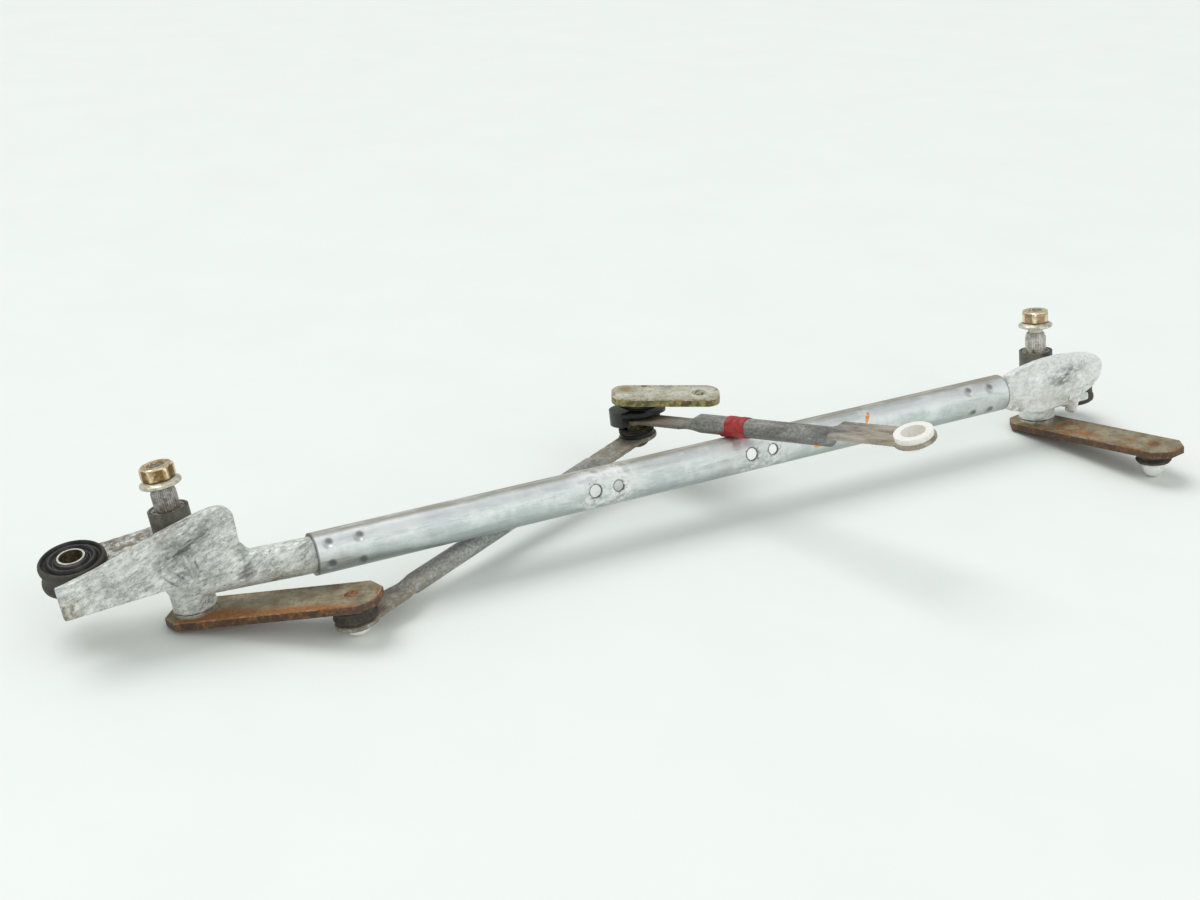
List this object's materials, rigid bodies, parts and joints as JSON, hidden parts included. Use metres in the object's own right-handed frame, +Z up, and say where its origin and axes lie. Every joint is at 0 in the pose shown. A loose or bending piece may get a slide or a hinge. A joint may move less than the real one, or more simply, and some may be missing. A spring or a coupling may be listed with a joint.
{
  "type": "wiper linkage",
  "caption": "Tubular wiper frame with cast pivot housings, spindles, levers, push rods with ball joints and a crank plate.",
  "frame": {"origin": "centre of the whole part's footprint, on the table it lies on", "axes": "+X along the support tube from the left pivot to the right pivot, +Z up, -Y towards the levers"},
  "size_m": [0.7404, 0.233, 0.0988],
  "materials": {
    "cast_housing": "dull sand-cast grey with stains",
    "tube_zinc": "light blue-grey zinc plate with whitish stains",
    "bush_bronze": "dull sintered bronze",
    "cap_black": "black moulded plastic, worn",
    "grommet_rubber": "black rubber with concentric rings",
    "sleeve_zinc": "plated steel, bright edge",
    "spindle_steel": "grey steel, rust at the knurl's base",
    "ring_steel": "grey spring steel",
    "washer_zinc": "pale yellow zinc",
    "nut_zinc": "gold-yellow zinc",
    "lever_zinc": "olive zinc with rust along the edges",
    "stud_steel": "ground steel, greasy",
    "boot_rubber": "dirty dark brown rubber",
    "crank_zinc": "pale yellow-olive zinc with scratches",
    "rod_steel": "darker grainy grey, brown at the ends",
    "socket_black": "black moulded plastic",
    "socket_white": "white moulded plastic, yellowed",
    "tape_red": "red cloth tape"
  },
  "bodies": {
    "frame": {"support_tube": "tube_zinc", "left_pivot_housing": "cast_housing", "right_pivot_housing": "cast_housing", "left_lower_bush": "bush_bronze", "left_upper_bush": "bush_bronze", "left_dust_cap": "cap_black", "left_grommet": "grommet_rubber", "left_grommet_sleeve": "sleeve_zinc", "right_lower_bush": "bush_bronze", "right_upper_bush": "bush_bronze", "right_dust_cap": "cap_black", "right_grommet": "grommet_rubber", "right_grommet_sleeve": "sleeve_zinc"},
    "left_arm": {"left_spindle": "spindle_steel", "left_thrust_washer": "ring_steel", "left_retaining_ring": "ring_steel", "left_conical_washer": "washer_zinc", "left_arm_nut": "nut_zinc", "left_lever": "lever_zinc", "left_ball_stud": "stud_steel", "left_ball_boot": "boot_rubber"},
    "right_arm": {"right_spindle": "spindle_steel", "right_thrust_washer": "ring_steel", "right_retaining_ring": "ring_steel", "right_conical_washer": "washer_zinc", "right_arm_nut": "nut_zinc", "right_lever": "lever_zinc", "right_ball_stud": "stud_steel", "right_ball_boot": "boot_rubber"},
    "left_link": {"left_rod": "rod_steel", "left_rod_outer_socket": "socket_white", "left_rod_inner_socket": "socket_black", "lower_crank_boot": "boot_rubber"},
    "crank": {"crank_plate": "crank_zinc", "crank_ball_stud": "stud_steel", "upper_crank_boot": "boot_rubber"},
    "right_link": {"right_rod": "rod_steel", "right_rod_inner_socket": "socket_black", "right_rod_outer_socket": "socket_white", "marker_tape": "tape_red"}
  },
  "joints": [
    {"name": "left_spindle_turn", "type": "hinge", "parent": "frame", "child": "left_arm", "pos_m": [-0.29029, 0.03167, 0.01063], "axis": [-0.1197, 0.14, 0.9829], "range_deg": [0, 50]},
    {"name": "left_link_swing", "type": "hinge", "parent": "left_arm", "child": "left_link", "pos_m": [-0.21218, -0.0206, 0.01009], "axis": [-0.1197, 0.14, 0.9829], "range_deg": [-50, 0]},
    {"name": "crank_turn", "type": "hinge", "parent": "left_link", "child": "crank", "pos_m": [0.02771, 0.09717, 0.02863], "axis": [0, 0, 1], "range_deg": [0, 235]},
    {"name": "right_link_swing", "type": "hinge", "parent": "left_link", "child": "right_link", "pos_m": [0.02771, 0.09717, 0.04443], "axis": [-0.0102, 0.2154, 0.9765], "range_deg": [-50, 0]},
    {"name": "right_spindle_turn", "type": "hinge", "parent": "frame", "child": "right_arm", "pos_m": [0.31831, 0.03167, 0.01003], "axis": [-0.0287, 0.1531, 0.9878], "continuous": true}
  ],
  "couplings": [
    {"joint": "left_link_swing", "follows": "left_spindle_turn", "ratio": -1}
  ]
}
